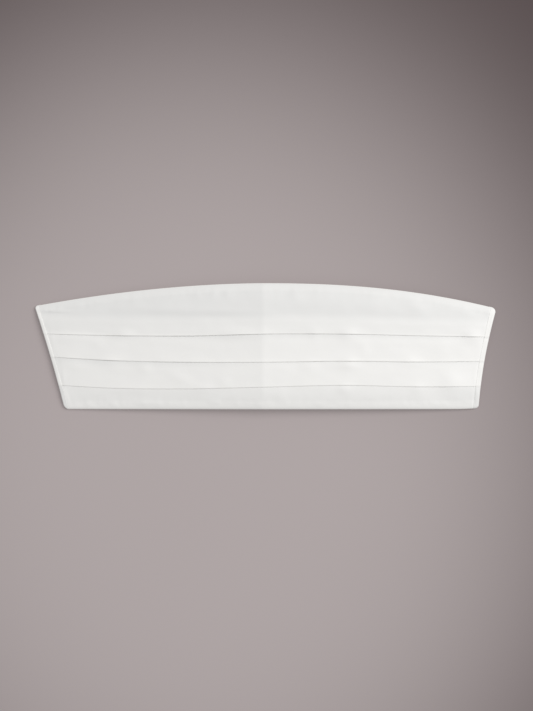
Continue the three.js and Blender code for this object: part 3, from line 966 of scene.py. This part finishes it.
def addNoise(tree, vector, scale, detail=3.0, roughness=0.5):
    node = tree.nodes.new("ShaderNodeTexNoise")
    node.inputs["Scale"].default_value = scale
    node.inputs["Detail"].default_value = detail
    node.inputs["Roughness"].default_value = roughness
    tree.links.new(vector, node.inputs["Vector"])
    return node.outputs["Fac"]


def scaleVector(tree, vector, amounts):
    node = tree.nodes.new("ShaderNodeVectorMath")
    node.operation = "MULTIPLY"
    node.inputs[1].default_value = amounts
    tree.links.new(vector, node.inputs[0])
    return node.outputs[0]


def addMix(tree, factor, first, second):
    node = tree.nodes.new("ShaderNodeMix")
    node.data_type = "RGBA"
    for name, value in (("Factor", factor), ("A", first), ("B", second)):
        socket = [s for s in node.inputs if s.name == name and s.enabled][0]
        if isinstance(value, tuple):
            socket.default_value = (*value, 1)
        elif isinstance(value, (int, float)):
            socket.default_value = value
        else:
            tree.links.new(value, socket)
    return [s for s in node.outputs if s.enabled][0]


weave = {
    "thread": 0.0004,  # from one thread to the next, unless a material says otherwise
    "crossing": 0.5,  # how high the crossings stand beside thicker and thinner threads
    "alongThread": 60,  # how fast a thread's thickness changes, along it and from one to the next
    "acrossThreads": 2600,
}
handling = {
    "size": 12.0,
    "broadDetail": 4.0,
    "broadRoughness": 0.55,
    "fineSize": 260.0,
    "fineShare": 0.25,
}
sheen = {"roughness": 0.4, "tint": (1.0, 0.99, 0.97, 1)}
softHeight = 0.6  # share of the soft unevenness in the height of every cloth


def makeWeaveGroup():
    # threads over and under each other, with thicker and thinner ones; the vector is in metres
    group, given, result = newGroup(
        "weave",
        [
            ("Vector", "NodeSocketVector", None),
            ("Warp", "NodeSocketFloat", weave["thread"]),
            ("Weft", "NodeSocketFloat", weave["thread"]),
        ],
        [("Height", "NodeSocketFloat"), ("Streaks", "NodeSocketFloat")],
    )
    split = group.nodes.new("ShaderNodeSeparateXYZ")
    group.links.new(given.outputs["Vector"], split.inputs[0])
    waves = []
    for axis, thread in ((0, "Warp"), (1, "Weft")):
        turns = addMath(group, "DIVIDE", split.outputs[axis], given.outputs[thread])
        waves.append(addMath(group, "SINE", addMath(group, "MULTIPLY", turns, math.pi)))
    crossing = addMath(group, "MULTIPLY", waves[0], waves[1])
    slow, fast = weave["alongThread"], weave["acrossThreads"]
    level = addNoise(group, scaleVector(group, given.outputs["Vector"], (slow, fast, 1)), 1.0, 2.0)
    upright = addNoise(group, scaleVector(group, given.outputs["Vector"], (fast, slow, 1)), 1.0, 2.0)
    streaks = addMath(group, "MULTIPLY", addMath(group, "ADD", level, upright), 0.5)
    height = addMath(group, "MULTIPLY_ADD", crossing, weave["crossing"], streaks)
    group.links.new(height, result.inputs["Height"])
    group.links.new(streaks, result.inputs["Streaks"])
    return group


def makeHandlingGroup():
    # faint uneven tone of cloth that has been pressed, folded and handled
    group, given, result = newGroup(
        "handling",
        [("Vector", "NodeSocketVector", None), ("Size", "NodeSocketFloat", handling["size"])],
        [("Tone", "NodeSocketFloat"), ("Soft Height", "NodeSocketFloat")],
    )
    broad = group.nodes.new("ShaderNodeTexNoise")
    broad.inputs["Detail"].default_value = handling["broadDetail"]
    broad.inputs["Roughness"].default_value = handling["broadRoughness"]
    group.links.new(given.outputs["Vector"], broad.inputs["Vector"])
    group.links.new(given.outputs["Size"], broad.inputs["Scale"])
    fine = addNoise(group, given.outputs["Vector"], handling["fineSize"], 2.0)
    broadTone = addMath(group, "MULTIPLY", broad.outputs["Fac"], 1 - handling["fineShare"])
    tone = addMath(group, "MULTIPLY_ADD", fine, handling["fineShare"], broadTone)
    group.links.new(tone, result.inputs["Tone"])
    group.links.new(fine, result.inputs["Soft Height"])
    return group


weaveGroup = makeWeaveGroup()
handlingGroup = makeHandlingGroup()


def newMaterial(name):
    material = bpy.data.materials.new(name)
    material.use_nodes = True
    tree = material.node_tree
    return material, tree, tree.nodes["Principled BSDF"]


def addGroup(tree, group, **values):
    node = tree.nodes.new("ShaderNodeGroup")
    node.node_tree = group
    for name, value in values.items():
        if isinstance(value, (int, float)):
            node.inputs[name].default_value = value
        else:
            tree.links.new(value, node.inputs[name])
    return node


def addBump(tree, shader, height, look):
    bump = tree.nodes.new("ShaderNodeBump")
    bump.inputs["Strength"].default_value = look["bump"]
    bump.inputs["Distance"].default_value = look["bumpDepth"]
    tree.links.new(height, bump.inputs["Height"])
    tree.links.new(bump.outputs["Normal"], shader.inputs["Normal"])


def addRange(tree, value, low, high):
    node = tree.nodes.new("ShaderNodeMapRange")
    node.inputs["From Min"].default_value = low
    node.inputs["From Max"].default_value = high
    tree.links.new(value, node.inputs["Value"])
    return node.outputs["Result"]


def readAttribute(tree, name):
    node = tree.nodes.new("ShaderNodeAttribute")
    node.attribute_name = name
    return node.outputs["Fac"]


def objectPlace(tree):
    return tree.nodes.new("ShaderNodeTexCoord").outputs["Object"]


def times(tree, mask, amount):
    return addMath(tree, "MULTIPLY", mask, amount)


def darkened(look):
    return tuple(c * look["lowTone"] for c in look["colour"])


def clothMaterial(name, look):
    material, tree, shader = newMaterial(name)
    uv = tree.nodes.new("ShaderNodeUVMap")
    uv.uv_map = "clothUv"
    woven = addGroup(tree, weaveGroup, Vector=uv.outputs["UV"], Warp=look["warp"], Weft=look["weft"])
    handled = addGroup(tree, handlingGroup, Vector=objectPlace(tree), Size=look["toneSize"])
    colour = look["colour"]
    if "thinColour" in look:
        layered = addRange(tree, readAttribute(tree, "pliesAndPaintedLight"), *look["thinSpan"])
        colour = addMix(tree, layered, look["thinColour"], colour)
        # pressed folded edges are painted paler and warmer: a painted highlight and painted warm bounce light
        # in the fold shade
        pressAndEdgeLight = times(tree, readAttribute(tree, "pressAndEdgeLight"), look["pressedEdgeLightAmount"])
        colour = addMix(tree, pressAndEdgeLight, colour, look["pressedEdgeLightColour"])
    tone, streaks = handled.outputs["Tone"], woven.outputs["Streaks"]
    for mask, amount in ((tone, look["toneAmount"]), (streaks, look["streakAmount"])):
        low = times(tree, addMath(tree, "SUBTRACT", 1.0, mask), amount)
        colour = addMix(tree, low, colour, darkened(look))
    tree.links.new(colour, shader.inputs["Base Color"])
    roughest = look["roughness"] + look["glossSpread"] / 2
    rough = addMath(tree, "MULTIPLY_ADD", tone, -look["glossSpread"], roughest)
    tree.links.new(rough, shader.inputs["Roughness"])
    shader.inputs["Sheen Weight"].default_value = look["sheen"]
    shader.inputs["Sheen Roughness"].default_value = sheen["roughness"]
    shader.inputs["Sheen Tint"].default_value = sheen["tint"]
    shader.inputs["Specular IOR Level"].default_value = look["gloss"]
    soft, threads = handled.outputs["Soft Height"], woven.outputs["Height"]
    height = addMath(tree, "MULTIPLY_ADD", soft, softHeight, threads)
    addBump(tree, shader, height, look)
    return material


faceLook = {
    "colour": (0.845, 0.837, 0.818),
    "thinColour": (0.735, 0.733, 0.722),  # a single ply, and from how many plies to how many it fades
    "thinSpan": (0.4, 3.0),
    # painted highlight and painted warm bounce light along the pressed folded edges
    "pressedEdgeLightColour": (0.88, 0.87, 0.84),
    "pressedEdgeLightAmount": 0.5,
    "warp": 0.00028,
    "weft": 0.00034,
    "toneSize": 14.0,
    "toneAmount": 0.16,
    "lowTone": 0.9,
    "streakAmount": 0.16,
    "roughness": 0.5,
    "glossSpread": 0.12,  # how much the roughness varies over the cloth
    "sheen": 0.12,
    "gloss": 0.35,
    "bump": 0.25,
    "bumpDepth": 0.00006,
}
liningLook = {
    "colour": (0.78, 0.765, 0.73),
    "warp": 0.0004,
    "weft": 0.0004,
    "toneSize": 10.0,
    "toneAmount": 0.3,
    "lowTone": 0.82,
    "streakAmount": 0.35,
    "roughness": 0.75,
    "glossSpread": 0.12,
    "sheen": 0.05,
    "gloss": 0.25,
    "bump": 0.5,
    "bumpDepth": 0.0001,
}
strapLook = {
    "colour": (0.79, 0.78, 0.745),
    "warp": 0.0011,
    "weft": 0.0016,
    "toneSize": 16.0,
    "toneAmount": 0.25,
    "lowTone": 0.8,
    "streakAmount": 0.45,
    "roughness": 0.62,
    "glossSpread": 0.12,
    "sheen": 0.08,
    "gloss": 0.3,
    "bump": 0.8,
    "bumpDepth": 0.00025,
}
threadLook = {
    "colour": (0.86, 0.85, 0.82),
    "lowTone": 0.82,
    "twist": 5200.0,
    "twistAmount": 0.35,
    "toneSize": 40.0,
    "toneAmount": 0.2,
    "roughness": 0.6,
    "sheen": 0.2,
    "bump": 0.4,
    "bumpDepth": 0.00005,
}
claspLook = {
    "colour": (0.77, 0.755, 0.72),
    "lowTone": 0.86,
    "toneSize": 60.0,
    "toneAmount": 0.35,
    "rubbedColour": (0.87, 0.865, 0.85),
    "rubbedSpan": (0.5, 0.58),  # of Pointiness
    "rubbedAmount": 0.4,
    "smoothest": 0.26,
    "glossSpread": 0.22,
    "grain": 3800.0,
    "bump": 0.2,
    "bumpDepth": 0.00004,
}
floorLook = {
    "roughness": 0.85,
    "gloss": 0.2,
    "lowTone": 0.9,
    "toneSize": 3.0,
    "toneAmount": 0.03,
}


def threadMaterial():
    material, tree, shader = newMaterial("sewingThread")
    place = objectPlace(tree)
    handled = addGroup(tree, handlingGroup, Vector=place, Size=threadLook["toneSize"])
    wave = tree.nodes.new("ShaderNodeTexWave")
    wave.bands_direction = "DIAGONAL"
    wave.inputs["Scale"].default_value = threadLook["twist"]
    tree.links.new(place, wave.inputs["Vector"])
    darker = darkened(threadLook)
    twist = times(tree, wave.outputs["Fac"], threadLook["twistAmount"])
    colour = addMix(tree, twist, threadLook["colour"], darker)
    colour = addMix(tree, times(tree, handled.outputs["Tone"], threadLook["toneAmount"]), colour, darker)
    tree.links.new(colour, shader.inputs["Base Color"])
    shader.inputs["Roughness"].default_value = threadLook["roughness"]
    shader.inputs["Sheen Weight"].default_value = threadLook["sheen"]
    addBump(tree, shader, wave.outputs["Fac"], threadLook)
    return material


def claspMaterial():
    # moulded white plastic: a fine grain, and edges rubbed a little paler
    material, tree, shader = newMaterial("mouldedPlastic")
    place = objectPlace(tree)
    handled = addGroup(tree, handlingGroup, Vector=place, Size=claspLook["toneSize"])
    grain = addNoise(tree, place, claspLook["grain"], 2.0)
    geometry = tree.nodes.new("ShaderNodeNewGeometry")
    rubbed = addRange(tree, geometry.outputs["Pointiness"], *claspLook["rubbedSpan"])
    tone = handled.outputs["Tone"]
    low = times(tree, tone, claspLook["toneAmount"])
    colour = addMix(tree, low, claspLook["colour"], darkened(claspLook))
    colour = addMix(tree, times(tree, rubbed, claspLook["rubbedAmount"]), colour, claspLook["rubbedColour"])
    tree.links.new(colour, shader.inputs["Base Color"])
    rough = addMath(tree, "MULTIPLY_ADD", tone, claspLook["glossSpread"], claspLook["smoothest"])
    tree.links.new(rough, shader.inputs["Roughness"])
    addBump(tree, shader, grain, claspLook)
    return material


def floorMaterial():
    material, tree, shader = newMaterial("paperPaintedPool")
    place = objectPlace(tree)
    handled = addGroup(tree, handlingGroup, Vector=place, Size=floorLook["toneSize"])
    # painted pool of light: the floor is painted pale round the sash and darker far from it, where a studio
    # light pool would fade
    offset = tree.nodes.new("ShaderNodeVectorMath")
    offset.operation = "SUBTRACT"
    offset.inputs[1].default_value = studio["floorCentre"]
    tree.links.new(place, offset.inputs[0])
    shares = scaleVector(tree, offset.outputs[0], [1 / reach for reach in studio["floorReach"]])
    away = tree.nodes.new("ShaderNodeVectorMath")
    away.operation = "LENGTH"
    tree.links.new(shares, away.inputs[0])
    fade = addMath(tree, "POWER", away.outputs["Value"], studio["floorFade"])
    near = addMath(tree, "EXPONENT", times(tree, fade, -1.0))
    paintedLightPool = addMix(tree, near, studio["floorFarShade"], studio["floorColour"])
    darker = tuple(c * floorLook["lowTone"] for c in studio["floorFarShade"])
    colour = addMix(tree, times(tree, handled.outputs["Tone"], floorLook["toneAmount"]), paintedLightPool, darker)
    # painted glow: the floor gives off part of its colour as light, which lightens the shadows on it
    tree.links.new(addMix(tree, studio["floorPaintedGlow"], colour, (0.0, 0.0, 0.0)), shader.inputs["Base Color"])
    tree.links.new(colour, shader.inputs["Emission Color"])
    shader.inputs["Emission Strength"].default_value = studio["floorPaintedGlow"]
    shader.inputs["Roughness"].default_value = floorLook["roughness"]
    shader.inputs["Specular IOR Level"].default_value = floorLook["gloss"]
    return material


dressCloth = clothMaterial("dressCloth", faceLook)
liningCloth = clothMaterial("liningCloth", liningLook)
ribbedStrap = clothMaterial("ribbedStrap", strapLook)
sewingThread = threadMaterial()
mouldedPlastic = claspMaterial()


def finish(piece, material):
    piece.data.materials.clear()
    piece.data.materials.append(material)
    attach(piece, "root")


finish(face, dressCloth)
finish(lining, liningCloth)
finish(stripLeft, dressCloth)
finish(stripRight, dressCloth)
finish(strapLeft, ribbedStrap)
finish(strapRight, ribbedStrap)
finish(claspFrame, mouldedPlastic)
finish(strapStitches, sewingThread)
finish(hemStitches, sewingThread)
floor.data.materials.append(floorMaterial())

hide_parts("pleated_front")
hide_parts("back_panel")
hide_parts("end_binding_left")
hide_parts("end_binding_right")
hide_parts("strap_left")
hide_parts("strap_right")
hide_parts("clasp")

print("finishes are on")
